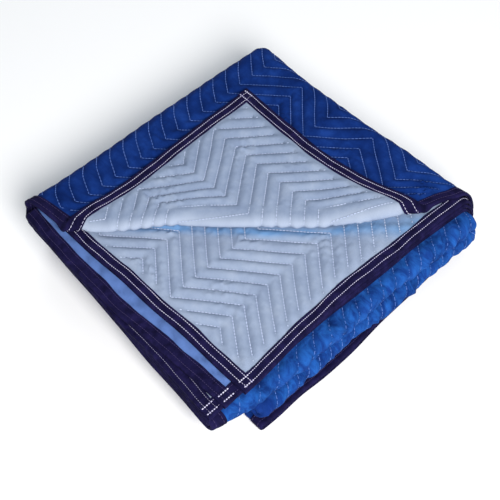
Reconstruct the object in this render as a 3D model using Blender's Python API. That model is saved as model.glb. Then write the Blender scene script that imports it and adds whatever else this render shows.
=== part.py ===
"""Quilted moving blanket, 72 x 80 in, folded in half four times into a packet of sixteen layers.

The cloth is laid out flat in coordinates a (across, 72 in) and b (along, 80 in), with n its height over the
mid-plane, and every point is then carried through the four folds. Metres, +Z up, the packet resting on z = 0.
"""

from math import cos, floor, pi, sin, sqrt

import bmesh
import bpy
from mathutils.geometry import delaunay_2d_cdt

MM = 0.001
TOLERANCE = 1e-6
SHARP_ANGLE = 0.7

# The blanket opened out
QUARTER_A = 457.2 * MM
QUARTER_B = 508.0 * MM
WIDTH = 4 * QUARTER_A
LENGTH = 4 * QUARTER_B
CLOTH = 6.7 * MM
PLY_GAP = 0.5 * MM
LAYER_GAP = 0.9 * MM

# Binding tape, folded over the edge
TAPE_WIDTH = 20.5 * MM
TAPE_THICKNESS = 1.0 * MM
TAPE_CLEARANCE = 0.35 * MM
EDGE_CLEARANCE = 1.0 * MM
INNER_CLEARANCE = 0.5 * MM
TAPE_CHAMFER = 1.6 * MM
TAPE_RAMP = 3.0 * MM

# Zigzag quilting
ZIGZAG_APEX = 170.0 * MM
ZIGZAG_HALF = 78.0 * MM
ZIGZAG_RISE = 67.0 * MM
ROW_PITCH = 25.8 * MM
ROW_PHASE = 5.7 * MM
STITCH_DEPTH = 1.3 * MM
SECOND_LAYER_SHOWS = 410.0 * MM
QUILT_MARGIN = 8.0 * MM
SHORTEST_SHARE = 0.02

# Where the packet lies: the bound edges of the top layer, and the middle of the packet's box
SIDE_EDGE_X = 221.6 * MM
END_EDGE_Y = -247.6 * MM
PACKET_CENTRE = (13.9 * MM, -26.8 * MM)


class Fold:
    """One fold in half: the pack under it, where the bend starts, how long and how deep the bend is."""

    def __init__(self, pack, middle, start, depth, steps):
        self.centre = pack + LAYER_GAP / 2
        self.start = start
        self.length = 2 * (middle - start)
        self.depth = depth
        self.steps = steps

    def lines(self):
        """Distances at which the bend is divided into flat facets."""
        return [self.start + self.length * k / self.steps for k in range(self.steps + 1)]

    def carry(self, s, h):
        """A point at distance s and height h, after the far half is folded up and back over the near half."""
        past = (s - self.start) / self.length
        if past <= 0:
            return s, h
        if past >= 1:
            return 2 * self.start + self.length - s, 2 * self.centre - h
        reach = self.centre - h
        return self.start + self.depth * reach * sin(pi * past), self.centre - reach * cos(pi * past)


def stacked(layers):
    return layers * CLOTH + (layers - 1) * LAYER_GAP


HEIGHT = stacked(16)
FOLD_ENDS = Fold(stacked(1), 2 * QUARTER_B, 2 * QUARTER_B - 6.0 * MM, 1.0, 4)
FOLD_SIDES = Fold(stacked(2), 2 * QUARTER_A, 2 * QUARTER_A - 12.0 * MM, 1.0, 5)
FOLD_BACK_LEFT = Fold(stacked(4), QUARTER_A, 429.6 * MM, 0.7, 6)
FOLD_BACK_RIGHT = Fold(stacked(8), QUARTER_B, 455.1 * MM, 0.5, 7)
FOLD_LEFT_X = SIDE_EDGE_X - FOLD_BACK_LEFT.start
FOLD_RIGHT_Y = END_EDGE_Y + FOLD_BACK_RIGHT.start

# The corner of the top layer, turned back on the diagonal
CORNER_START = 58.5 * MM
CORNER_LENGTH = 10.0 * MM
CORNER_DEPTH = 1.6
CORNER_STEPS = 8
CORNER_CENTRE = HEIGHT + 0.5 * MM
CORNER_STRETCH = 1.02
# Place along the crease in m, and how far it lies in front of its straight line there in mm
CREASE_WANDER = [
    (-0.30, 3.0), (-0.24, -2.0), (-0.10, 0.0), (0.02, 2.0),
    (0.14, -5.0), (0.20, -8.0), (0.27, -9.0), (0.31, -8.0),
]
CREASE_REACH = 70.0 * MM
CREASE_RIB = 40.0 * MM
CREASE_CLEARANCE = 10.0 * MM
BEND_MARGIN = 30.0 * MM

# How far the front-left edges lie out (-) or in (+), in mm, at a = 0, 1, 2, 3, 4 quarters.
# The rows are the bound edge b = 0, the folds between, and the bound edge b = 4 quarters.
END_SHIFT = {
    0: (12.2, 12.2, -42.0, -5.0, -15.0),
    2: (28.6, 24.0, 40.0, 24.0, 35.0),
    4: (0.0, 0.0, -42.0, -4.0, -44.0),
}
# How far each quarter of those edges bows in between
END_BOW = {
    0: (0.0, 0.0, 0.0, -12.0),
    2: (0.0, 0.0, 0.0, 0.0),
    4: (0.0, 0.0, 0.0, 0.0),
}
# The same for the front-right edges, out (+) or in (-), at b = 0, 1, 2, 3, 4 quarters
SIDE_SHIFT = {
    0: (17.0, 5.0, 26.4, 3.0, 0.0),
    2: (6.0, 28.0, 16.0, 28.0, 6.0),
    4: (8.0, 6.0, 16.0, 6.0, 2.0),
}
SIDE_BOW = {
    0: (-9.0, 5.0, 5.0, 0.0),
    2: (12.0, 6.0, 6.0, 12.0),
    4: (-4.0, 3.0, 3.0, -2.0),
}
SHIFT_REACH = 200.0 * MM

# The upper eight layers hang a little over the edge of the lower eight
DROOP_LINE = -216.0 * MM
DROOP_REACH = 85.0 * MM
DROOP_AT_LEFT = 2.0 * MM
DROOP_AT_FRONT = 4.0 * MM

# Ribs in each quarter that let an edge run in a curve
RIBS = 4


def smooth(u):
    u = min(max(u, 0.0), 1.0)
    return u * u * (3 - 2 * u)


def along(table, f):
    """Reads a table of five values at quarters 0 to 4, with an even slope at each."""
    i = min(max(floor(f), 0), 3)
    return table[i] + (table[i + 1] - table[i]) * smooth(f - i)


def shift(tables, bows, quarters_along, quarters_across):
    """Out-of-line distance of the edge nearest to this point, in metres."""
    if quarters_across < 1:
        edge = 0
    elif quarters_across <= 3:
        edge = 2
    else:
        edge = 4
    i = min(max(floor(quarters_along), 0), 3)
    bow = bows[edge][i] * sin(pi * min(max(quarters_along - i, 0), 1))
    return (along(tables[edge], quarters_along) + bow) * MM


def wander(p):
    """How far the turned-back crease lies in front of its straight line, at place p along it."""
    for (p0, w0), (p1, w1) in zip(CREASE_WANDER, CREASE_WANDER[1:]):
        if p <= p1:
            return (w0 + (w1 - w0) * min(max((p - p0) / (p1 - p0), 0), 1)) * MM
    return CREASE_WANDER[-1][1] * MM


def turn_corner(x, y, z):
    """Carries a point of the top layer round the diagonal crease."""
    s = (x - y) / sqrt(2)
    p = (x + y) / sqrt(2)
    past = (s - CORNER_START) / CORNER_LENGTH
    reach = CORNER_CENTRE - z
    if past >= 1:
        s = CORNER_START - (s - CORNER_START - CORNER_LENGTH) * CORNER_STRETCH
        z = 2 * CORNER_CENTRE - z
    elif past > 0:
        s = CORNER_START + CORNER_DEPTH * reach * sin(pi * past)
        z = CORNER_CENTRE - reach * cos(pi * past)
    near = smooth(1 - abs(s - CORNER_START) / CREASE_REACH)
    clear_of_bends = smooth((x - FOLD_LEFT_X) / BEND_MARGIN) * smooth((FOLD_RIGHT_Y - y) / BEND_MARGIN)
    s += wander(p) * near * clear_of_bends
    return (p + s) / sqrt(2), (p - s) / sqrt(2), z


def place(a, b, n):
    """Where the point (a, b, n) of the flat blanket lies in the folded packet."""
    s_end, h = FOLD_ENDS.carry(LENGTH - b, CLOTH / 2 + n)
    s_side, h = FOLD_SIDES.carry(a, h)
    s_side, h = FOLD_BACK_LEFT.carry(s_side, h)
    s_end, h = FOLD_BACK_RIGHT.carry(2 * QUARTER_B - s_end, h)
    qa = a / QUARTER_A
    qb = b / QUARTER_B
    x = SIDE_EDGE_X - s_side
    y = END_EDGE_Y + s_end
    dx = shift(SIDE_SHIFT, SIDE_BOW, qb, qa) * smooth(1 - s_side / SHIFT_REACH)
    dy = shift(END_SHIFT, END_BOW, qa, qb) * smooth(1 - s_end / SHIFT_REACH)
    x += dx
    y += dy
    if qa < 1 and qb > 3:
        x, y, h = turn_corner(x, y, h)
    if qb < 1 or qb > 3:
        low = (x - FOLD_LEFT_X) / (SIDE_EDGE_X - FOLD_LEFT_X)
        droop = DROOP_AT_LEFT + (DROOP_AT_FRONT - DROOP_AT_LEFT) * low
        h -= droop * smooth((DROOP_LINE - y) / DROOP_REACH)
    return x - PACKET_CENTRE[0], y - PACKET_CENTRE[1], h


def rib_lines(size):
    """Distances of the ribs in the four quarters of this size."""
    return [size * (k + i / RIBS) for k in range(4) for i in range(1, RIBS)]


def mirrored(size, lines):
    return lines + [size - line for line in lines]


BENDS_A = mirrored(WIDTH, FOLD_BACK_LEFT.lines()) + FOLD_SIDES.lines()
BENDS_B = mirrored(LENGTH, FOLD_BACK_RIGHT.lines()) + FOLD_ENDS.lines()
RIM = TAPE_THICKNESS + EDGE_CLEARANCE
TAPE_INNER = TAPE_WIDTH + INNER_CLEARANCE
RAMP_END = TAPE_INNER + TAPE_RAMP
END_LINES = [TAPE_WIDTH / 2, 40.0 * MM, 57.0 * MM]
RIB_REACH = END_LINES[-1]


def crease_offsets():
    """b - a on each facet line of the diagonal crease."""
    return [
        LENGTH + END_EDGE_Y - SIDE_EDGE_X + sqrt(2) * (CORNER_START + CORNER_LENGTH * k / CORNER_STEPS)
        for k in range(CORNER_STEPS + 1)
    ]


def clear_of_crease(lines, crossings):
    """The ribs that don't cut through the diagonal crease within the tape."""
    low = min(crossings) - TAPE_WIDTH - CREASE_CLEARANCE
    high = max(crossings) + TAPE_WIDTH + CREASE_CLEARANCE
    return [line for line in lines if not low < line < high]


CREASE_ON_SIDE = crease_offsets()
CREASE_ON_END = [LENGTH - offset for offset in crease_offsets()]
RIB_LINES_A = rib_lines(QUARTER_A)
RIB_LINES_B = rib_lines(QUARTER_B)


def base_segments():
    """The lines that every face of the two panels is divided along."""
    segments = []
    edge_lines = [RIM, TAPE_INNER, RAMP_END]
    for a in mirrored(WIDTH, edge_lines) + BENDS_A:
        segments.append(((a, RIM), (a, LENGTH - RIM)))
    for b in mirrored(LENGTH, edge_lines + END_LINES) + BENDS_B:
        segments.append(((RIM, b), (WIDTH - RIM, b)))
    for a in clear_of_crease(RIB_LINES_A, CREASE_ON_END):
        segments.append(((a, LENGTH - RIM), (a, LENGTH - RIB_REACH)))
    for b in clear_of_crease(RIB_LINES_B, CREASE_ON_SIDE):
        segments.append(((RIM, b), (RIB_REACH, b)))
    for a in RIB_LINES_A:
        segments.append(((a, RIM), (a, RIB_REACH)))
    for b in RIB_LINES_B:
        segments.append(((WIDTH - RIM, b), (WIDTH - RIB_REACH, b)))
        segments.append(((FOLD_SIDES.start, b), (FOLD_SIDES.start + FOLD_SIDES.length, b)))
    for offset in crease_offsets():
        segments.append(((RIM, RIM + offset), (LENGTH - RIM - offset, LENGTH - RIM)))
    for p, _ in CREASE_WANDER[2:-2]:
        before = from_crease(p, CORNER_START - CREASE_RIB)
        behind = from_crease(p, CORNER_START + CORNER_LENGTH + CREASE_RIB)
        segments.append((before, behind))
    return segments


def from_crease(p, s):
    """The point of the flat blanket at place p along the crease and distance s across it."""
    x = (p + s) / sqrt(2)
    y = (p - s) / sqrt(2)
    return min(max(SIDE_EDGE_X - x, RIM), WIDTH), max(min(LENGTH + END_EDGE_Y - y, LENGTH - RIM), 0)


class Quilting:
    """Zigzag rows that run across a and are stacked along b, over one convex patch of the cloth.

    The patch is a list of half-planes (u, v, limit), each keeping u * a + v * b under its limit.
    """

    def __init__(self, patch):
        self.patch = patch

    def inside(self, a, b):
        return all(u * a + v * b < limit + TOLERANCE for u, v, limit in self.patch)

    def press(self, a, b):
        """How far the stitching draws the face in at this point."""
        if not self.inside(a, b):
            return 0.0
        row = (b - ROW_PHASE - zigzag(a)) / ROW_PITCH
        return STITCH_DEPTH * (1 - 2 * abs(row - floor(row + 0.5)))

    def clip(self, start, end):
        """The part of a segment that lies in the patch, or None."""
        low, high = 0.0, 1.0
        for u, v, limit in self.patch:
            at_start = u * start[0] + v * start[1] - limit
            at_end = u * end[0] + v * end[1] - limit
            if at_start > 0 and at_end > 0:
                return None
            if at_start > 0:
                low = max(low, at_start / (at_start - at_end))
            elif at_end > 0:
                high = min(high, at_start / (at_start - at_end))
        if high - low < SHORTEST_SHARE:
            return None
        return between(start, end, low), between(start, end, high)

    def segments(self):
        """Stitch lines, and the crests between them."""
        found = []
        for half_row in range(floor(-2 * ZIGZAG_RISE / ROW_PITCH), floor(2 * LENGTH / ROW_PITCH)):
            level = ROW_PHASE + half_row * ROW_PITCH / 2
            for k in range(floor(-ZIGZAG_APEX / ZIGZAG_HALF) - 1, floor(WIDTH / ZIGZAG_HALF)):
                a0 = ZIGZAG_APEX + k * ZIGZAG_HALF
                a1 = a0 + ZIGZAG_HALF
                cut = self.clip((a0, level + zigzag(a0)), (a1, level + zigzag(a1)))
                if cut:
                    found.append(cut)
        return found


def between(start, end, share):
    return tuple(p + (q - p) * share for p, q in zip(start, end))


def zigzag(a):
    """How far a row of stitching has risen along b at this a."""
    return ZIGZAG_RISE * (1 - abs(((a - ZIGZAG_APEX) / ZIGZAG_HALF) % 2 - 1))


def triangulated(segments):
    """Points and triangles of the cloth's rectangle, divided along the segments."""
    corners = [(RIM, RIM), (WIDTH - RIM, RIM), (WIDTH - RIM, LENGTH - RIM), (RIM, LENGTH - RIM)]
    outline = list(zip(corners, corners[1:] + corners[:1]))
    ends = [point for segment in outline + segments for point in segment]
    edges = [(2 * k, 2 * k + 1) for k in range(len(ends) // 2)]
    points, _, faces, _, _, _ = delaunay_2d_cdt(ends, edges, [], 0, TOLERANCE)
    return [tuple(point) for point in points], [tuple(face) for face in faces]


def rim_loop(points):
    """Indices of the points on the rectangle's outline, in order round it."""
    loop = []
    for k, (a, b) in enumerate(points):
        if abs(b - RIM) < TOLERANCE:
            loop.append((a, k))
        elif abs(a - (WIDTH - RIM)) < TOLERANCE:
            loop.append((WIDTH + b, k))
        elif abs(b - (LENGTH - RIM)) < TOLERANCE:
            loop.append((2 * WIDTH + LENGTH - a, k))
        elif abs(a - RIM) < TOLERANCE:
            loop.append((2 * WIDTH + 2 * LENGTH - b, k))
    return [k for _, k in sorted(loop)]


def outer_height(a, b, patches):
    """Half the cloth's thickness here: thinned under the tape, drawn in by the stitching."""
    to_edge = min(a, b, WIDTH - a, LENGTH - b)
    under = min(max((RAMP_END - to_edge) / TAPE_RAMP, 0), 1)
    return CLOTH / 2 - under * (TAPE_THICKNESS + TAPE_CLEARANCE) - sum(patch.press(a, b) for patch in patches)


def panel(name, side, patches, material):
    """One of the two cloths: side is +1 for the reverse and -1 for the face."""
    base = base_segments()
    outer_points, outer_faces = triangulated(base + [cut for patch in patches for cut in patch.segments()])
    inner_points, inner_faces = triangulated(base)
    bm = bmesh.new()
    outer = [bm.verts.new(place(a, b, side * outer_height(a, b, patches))) for a, b in outer_points]
    inner = [bm.verts.new(place(a, b, side * PLY_GAP / 2)) for a, b in inner_points]
    for verts, faces in ((outer, outer_faces), (inner, inner_faces)):
        for face in faces:
            bm.faces.new([verts[k] for k in face])
    outer_rim = [outer[k] for k in rim_loop(outer_points)]
    inner_rim = [inner[k] for k in rim_loop(inner_points)]
    for k in range(len(outer_rim)):
        j = (k + 1) % len(outer_rim)
        bm.faces.new([outer_rim[k], outer_rim[j], inner_rim[j], inner_rim[k]])
    return finished(name, bm, material)


def tape_section():
    """The tape's U section round the cloth's edge, as (distance from the edge, height)."""
    outer = CLOTH / 2
    inner = outer - TAPE_THICKNESS
    return [
        (TAPE_WIDTH, outer), (TAPE_WIDTH / 2, outer), (TAPE_CHAMFER, outer), (0.0, outer - TAPE_CHAMFER),
        (0.0, TAPE_CHAMFER - outer), (TAPE_CHAMFER, -outer), (TAPE_WIDTH / 2, -outer), (TAPE_WIDTH, -outer),
        (TAPE_WIDTH, -inner), (TAPE_WIDTH / 2, -inner), (TAPE_THICKNESS, -inner), (TAPE_THICKNESS, inner),
        (TAPE_WIDTH / 2, inner), (TAPE_WIDTH, inner),
    ]


# The four-sided and six-sided parts of a tape's end, as places in its section
TAPE_END = ((0, 1, 12, 13), (1, 2, 11, 12), (2, 3, 4, 5, 10, 11), (5, 6, 9, 10), (6, 7, 8, 9))


def tape(name, stations, to_cloth, material):
    """A binding tape: its section carried through stations (place along the edge, slant)."""
    section = tape_section()
    bm = bmesh.new()
    rings = []
    for along_edge, slant in sorted(stations):
        ring = []
        for d, n in section:
            a, b = to_cloth(along_edge + slant * d, d)
            ring.append(bm.verts.new(place(a, b, n)))
        rings.append(ring)
    for ring, following in zip(rings, rings[1:]):
        for k in range(len(section)):
            j = (k + 1) % len(section)
            bm.faces.new([ring[k], ring[j], following[j], following[k]])
    for ring in (rings[0], rings[-1]):
        for outline in TAPE_END:
            bm.faces.new([ring[k] for k in outline])
    return finished(name, bm, material)


def straight(lines):
    return [(line, 0) for line in lines]


def finished(name, bm, material):
    bmesh.ops.recalc_face_normals(bm, faces=bm.faces[:])
    mesh = bpy.data.meshes.new(name)
    bm.to_mesh(mesh)
    bm.free()
    mesh.shade_smooth()
    mesh.set_sharp_from_angle(angle=SHARP_ANGLE)
    mesh.materials.append(material)
    obj = bpy.data.objects.new(name, mesh)
    bpy.context.scene.collection.objects.link(obj)
    return obj


def cloth_material(name, colour, roughness):
    material = bpy.data.materials.new(name)
    material.use_nodes = True
    shader = material.node_tree.nodes["Principled BSDF"]
    shader.inputs["Base Color"].default_value = (*colour, 1.0)
    shader.inputs["Roughness"].default_value = roughness
    shader.inputs["Metallic"].default_value = 0.0
    return material


def clear_scene():
    for obj in list(bpy.data.objects):
        bpy.data.objects.remove(obj, do_unlink=True)


def build():
    clear_scene()
    face_patch = [
        (-1, 0, -RAMP_END), (1, 0, FOLD_BACK_LEFT.start + FOLD_BACK_LEFT.length),
        (0, 1, LENGTH - RAMP_END), (0, -1, FOLD_BACK_RIGHT.start + FOLD_BACK_RIGHT.length - LENGTH),
        (-1, 1, CREASE_ON_SIDE[0] - QUILT_MARGIN),
    ]
    corner_patch = [
        (-1, 0, -RAMP_END), (0, 1, LENGTH - RAMP_END), (1, -1, -CREASE_ON_SIDE[-1] - QUILT_MARGIN),
    ]
    second_patch = [(-1, 0, -RAMP_END), (0, -1, -RAMP_END), (1, 1, SECOND_LAYER_SHOWS)]
    blue = cloth_material("royal_blue_cloth", (0.016, 0.050, 0.250), 0.85)
    light = cloth_material("light_blue_cloth", (0.340, 0.440, 0.610), 0.85)
    navy = cloth_material("navy_tape", (0.014, 0.012, 0.040), 0.70)
    panel("face_panel", -1, [Quilting(face_patch)], blue)
    panel("reverse_panel", 1, [Quilting(corner_patch), Quilting(second_patch)], light)

    side_lines = [0.0, LENGTH] + BENDS_B + mirrored(LENGTH, [TAPE_INNER, RAMP_END] + END_LINES)
    end_lines = [RIM + TAPE_WIDTH, WIDTH - RIM - TAPE_WIDTH] + BENDS_A
    crease_on_side = [(offset, 1) for offset in CREASE_ON_SIDE]
    crease_on_end = [(offset, -1) for offset in CREASE_ON_END]
    tape(
        "binding_side_1",
        straight(side_lines + clear_of_crease(RIB_LINES_B, CREASE_ON_SIDE)) + crease_on_side,
        lambda e, d: (d, e), navy,
    )
    tape("binding_side_2", straight(side_lines + RIB_LINES_B), lambda e, d: (WIDTH - d, e), navy)
    tape("binding_end_1", straight(end_lines + RIB_LINES_A), lambda e, d: (e, d), navy)
    tape(
        "binding_end_2",
        straight(end_lines + clear_of_crease(RIB_LINES_A, CREASE_ON_END)) + crease_on_end,
        lambda e, d: (e, LENGTH - d), navy,
    )


build()
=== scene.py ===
"""Quilted moving blanket folded into a packet of sixteen layers, dressed for the render.

The cloth is laid out flat in coordinates a (across) and b (along), with n its height over the mid-plane,
and every point is carried through the four folds and the turned-back corner. Metres, +Z up.
"""

from math import ceil, cos, pi, radians, sin, sqrt

import bpy
import numpy as np
from mathutils import Matrix, Vector
from mathutils.geometry import delaunay_2d_cdt


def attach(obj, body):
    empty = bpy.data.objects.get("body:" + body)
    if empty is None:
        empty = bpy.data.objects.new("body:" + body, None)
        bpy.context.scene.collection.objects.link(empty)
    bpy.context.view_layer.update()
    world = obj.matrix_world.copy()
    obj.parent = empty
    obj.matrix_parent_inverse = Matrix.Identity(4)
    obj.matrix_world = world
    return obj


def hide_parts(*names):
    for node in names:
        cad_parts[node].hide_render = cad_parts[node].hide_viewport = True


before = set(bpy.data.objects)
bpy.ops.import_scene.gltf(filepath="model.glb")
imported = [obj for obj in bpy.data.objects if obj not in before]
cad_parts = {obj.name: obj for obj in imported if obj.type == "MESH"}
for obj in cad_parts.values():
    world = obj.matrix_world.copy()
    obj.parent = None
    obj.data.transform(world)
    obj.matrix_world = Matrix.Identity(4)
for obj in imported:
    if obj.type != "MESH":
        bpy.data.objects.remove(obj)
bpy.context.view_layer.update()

MM = 0.001

# The blanket opened out
QUARTER_A = 457.2 * MM
QUARTER_B = 508.0 * MM
WIDTH = 4 * QUARTER_A
LENGTH = 4 * QUARTER_B
CLOTH = 6.7 * MM
PLY_GAP = 0.5 * MM
LAYER_GAP = 0.9 * MM

# Binding tape
TAPE_WIDTH = 20.5 * MM
TAPE_THICKNESS = 1.0 * MM
TAPE_CLEARANCE = 0.35 * MM
RIM = 2.0 * MM
BAND = 30.0 * MM
STITCH_ROWS = (6.4 * MM, 17.0 * MM)
ROW_PRESS = 0.45 * MM

# Zigzag quilting
ZIGZAG_APEX = 170.0 * MM
ZIGZAG_HALF = 78.0 * MM
ZIGZAG_RISE = 67.0 * MM
ROW_PITCH = 25.8 * MM
ROW_PHASE = 5.7 * MM
PUFF_HIGH = 0.35 * MM
PUFF_BARE = 2.0 * MM
PUFF_LOW = -2.8 * MM
PUFF_ROUND = 2.0
PUFF_BENT = 0.35
PUFF_FLAT = 0.3 * MM
ROLL_TAUT = 0.75
THINNEST = 0.55 * MM
PUCKER = 0.62 * MM

# Where the packet lies
SIDE_EDGE_X = 221.6 * MM
END_EDGE_Y = -247.6 * MM
PACKET_CENTRE = (13.9 * MM, -26.8 * MM)


def stacked(layers):
    return layers * CLOTH + (layers - 1) * LAYER_GAP


HEIGHT = stacked(16)


class Fold:
    """One fold in half: the pack under it, where the bend starts, how long and how deep the bend is."""

    def __init__(self, pack, middle, start, depth):
        self.centre = pack + LAYER_GAP / 2
        self.start = start
        self.length = 2 * (middle - start)
        self.depth = depth

    def lines(self, steps, flank=()):
        """Distances at which the bend is divided, with a few on each side of it."""
        inside = [self.start + self.length * k / steps for k in range(steps + 1)]
        return [self.start - d for d in reversed(flank)] + inside + [self.start + self.length + d for d in flank]

    def carry(self, s, h):
        past = (s - self.start) / self.length
        angle = pi * np.clip(past, 0, 1)
        reach = self.centre - h
        bent_s = self.start + self.depth * reach * np.sin(angle)
        bent_h = self.centre - reach * np.cos(angle)
        s_out = np.where(past <= 0, s, np.where(past >= 1, 2 * self.start + self.length - s, bent_s))
        h_out = np.where(past <= 0, h, bent_h)
        return s_out, h_out


FOLD_ENDS = Fold(stacked(1), 2 * QUARTER_B, 2 * QUARTER_B - 6.0 * MM, 1.0)
FOLD_SIDES = Fold(stacked(2), 2 * QUARTER_A, 2 * QUARTER_A - 12.0 * MM, 1.0)
FOLD_BACK_LEFT = Fold(stacked(4), QUARTER_A, 429.6 * MM, 0.7)
FOLD_BACK_RIGHT = Fold(stacked(8), QUARTER_B, 455.1 * MM, 0.5)
FOLD_LEFT_X = SIDE_EDGE_X - FOLD_BACK_LEFT.start
FOLD_RIGHT_Y = END_EDGE_Y + FOLD_BACK_RIGHT.start

# The corner of the top layer, turned back on the diagonal
CORNER_START = 53.5 * MM
CORNER_LENGTH = 20.0 * MM
CORNER_DEPTH = 2.29
CORNER_CENTRE = HEIGHT + 0.5 * MM
CORNER_STRETCH = 1.02
# Place along the crease in m, how far it lies from the straight diagonal there in mm
CREASE_WANDER = [
    (-0.24, -13.0), (-0.16, -7.0), (-0.06, -8.0), (0.02, -4.0), (0.07, -3.0), (0.10, -2.5),
    (0.14, -8.0), (0.20, -13.0), (0.27, -13.0),
]
CREASE_REACH = 80.0 * MM
BEND_MARGIN = 30.0 * MM
# Place along the crease, how high the cloth stands off it there in mm
CREASE_LIFT = [(-0.34, 0.2), (-0.22, 0.6), (-0.12, 1.3), (-0.02, 0.9), (0.06, 0.5), (0.15, 1.3), (0.22, 1.6), (0.30, 0.6)]
LIFT_BEFORE = 45.0 * MM
LIFT_BEHIND = 75.0 * MM
SHADOW_AHEAD = 18.0 * MM
# Where the top layer is pulled out of line, in mm: the flap's left edge along x for each y, its far edge along y
# for each x, and the end of its crease by (x, y, how far along x and y, over what reach)
FLAP_LEFT = [(-300.0, 23.2), (140.0, 4.9)]
FLAP_FAR = [(-160.0, 3.5), (11.5, -6.8), (190.0, 7.6), (240.0, 10.0)]
CREASE_END = (222.0, 138.0, -17.0, -2.0, 42.0)


def both_ways(rows):
    """A table from 0 to 2 quarters, read again backwards from 2 to 4."""
    return rows + [(4 - q, value) for q, value in reversed(rows[:-1])]


# How far the front-left edges lie out (-) or in (+), as (quarters along a, mm): the bound edge b = 0, the folds
# at b = 2 quarters, and the bound edge b = 4 quarters
FAN = [(1.17, -6.0), (1.33, -12.0), (1.5, -21.0), (1.65, -28.0), (1.8, -33.0), (1.93, -39.0), (2.0, -42.0)]
FAN_BACK = [(4 - q, value) for q, value in reversed(FAN[:-1])]
END_ROWS = [
    [(0.0, 12.2), (0.5, 14.0), (0.97, 12.0), (1.07, 4.0)] + FAN + FAN_BACK
    + [(3.0, -5.0), (3.14, -15.5), (3.5, -22.4), (3.8, -20.0), (3.95, -18.0), (4.0, -16.0)],
    [(0.0, 28.6), (1.0, 24.0), (1.7, 30.0), (2.0, 27.0), (2.3, 30.0), (3.0, 24.0), (4.0, 35.0)],
    [(0.0, 0.0), (1.0, 0.0)] + FAN + FAN_BACK
    + [(3.0, -4.0), (3.14, -13.0), (3.5, -25.0), (3.7, -30.0), (3.85, -34.0), (3.95, -39.0), (4.0, -41.0)],
]
# The same for the front-right edges, out (+) or in (-), as (quarters along b, mm)
BOTTOM = [(1.06, 9.0), (1.41, 16.8), (1.54, 21.5), (1.67, 26.0), (1.73, 27.2), (1.83, 23.7), (1.94, 24.7), (2.0, 26.4)]
BOTTOM_BACK = [(4 - q, value) for q, value in reversed(BOTTOM[:-1])]
SIDE_ROWS = [
    [(0.0, 16.8), (0.42, 1.5), (0.82, 4.5), (0.9, 8.0), (0.96, 10.0), (1.0, 9.5)] + BOTTOM + BOTTOM_BACK
    + [(3.0, 8.5), (3.1, 9.0), (3.2, 7.0), (3.5, 0.0), (4.0, 0.0)],
    both_ways([
        (0.0, -2.0), (0.035, 4.0), (0.055, 16.0), (0.075, 21.0), (0.1, 22.0), (0.3, 22.5), (0.5, 24.0), (0.7, 27.0), (0.9, 28.0),
        (1.0, 26.0), (1.1, 30.0), (1.25, 31.0), (1.4, 30.0), (1.55, 28.0), (1.7, 26.5), (1.85, 26.0), (2.0, 27.0),
    ]),
    [(0.0, 8.0), (0.42, 2.5), (0.8, 5.0), (0.9, 9.5), (1.0, 13.0), (1.5, 14.0), (2.0, 16.0),
     (2.5, 14.0), (3.0, 13.0), (3.1, 9.5), (3.2, 5.0), (3.6, 1.5), (3.9, 1.0), (4.0, 2.0)],
]
ROUNDED = 0.05
SHIFT_REACH = 200.0 * MM

# The twin folds at the left bulge in groups of four layers
LEFT_BULGE = 2.5 * MM
GROUP = 4 * (CLOTH + LAYER_GAP)

# Corners of the whole packet that are drawn out, in mm: x, y, how far along x and y, over what reach
DRAWN_OUT = [(-235.0, 245.0, 2.0, 12.0, 60.0), (-240.0, -250.0, -4.0, 1.0, 45.0)]

# The upper eight layers hang a little over the edge of the lower eight
DROOP_LINE = -218.0 * MM
DROOP_REACH = 75.0 * MM
DROOP_AT_LEFT = 3.0 * MM
DROOP_AT_FRONT = 8.0 * MM


def smooth(u):
    u = np.clip(u, 0, 1)
    return u * u * (3 - 2 * u)


def waves(x, y, seed, length, count=6):
    """Smooth irregular swell of about unit size, from a few sine waves of about this length."""
    rng = np.random.default_rng(seed)
    total = 0.0
    for _ in range(count):
        angle = rng.uniform(0, 2 * pi)
        k = 2 * pi / (length * rng.uniform(0.7, 1.4))
        total = total + np.sin(k * (x * cos(angle) + y * sin(angle)) + rng.uniform(0, 2 * pi))
    return total / sqrt(count / 2)


def read_table(rows, p):
    places, values = zip(*rows)
    return np.interp(p, places, values)


def read_rounded(rows, q):
    """Reads a table with its corners rounded off."""
    return sum(read_table(rows, q + d) for d in np.linspace(-ROUNDED, ROUNDED, 5)) / 5


def shift(tables, q_along, q_across):
    """Out-of-line distance of the edge nearest to this point, in metres."""
    near, middle, far = (read_rounded(rows, q_along) for rows in tables)
    return MM * np.where(q_across < 1, near, np.where(q_across <= 3, middle, far))


def turn_corner(x, y, z):
    """Carries the points of the top layer round the diagonal crease, and lifts them near it."""
    s = (x - y) / sqrt(2)
    p = (x + y) / sqrt(2)
    past = (s - CORNER_START) / CORNER_LENGTH
    turn = np.clip(past, 0, 1)
    reach = CORNER_CENTRE - z
    bent_s = CORNER_START + CORNER_DEPTH * reach * np.sin(pi * turn)
    over_s = CORNER_START - (s - CORNER_START - CORNER_LENGTH) * CORNER_STRETCH
    s = np.where(past <= 0, s, np.where(past >= 1, over_s, bent_s))
    z = np.where(past <= 0, z, CORNER_CENTRE - reach * np.cos(pi * turn))
    near = smooth(1 - np.abs(s - CORNER_START) / CREASE_REACH)
    lift = read_table(CREASE_LIFT, p) * MM
    behind = np.maximum(CORNER_START - s, 0)
    under = smooth(1 - behind / LIFT_BEFORE)
    over = smooth(1 - behind / LIFT_BEHIND)
    z = z + lift * ((1 - turn) * 0.2 * under + turn * over)
    s = s + read_table(CREASE_WANDER, p) * MM * near
    return (p + s) / sqrt(2), (p - s) / sqrt(2), z


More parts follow.
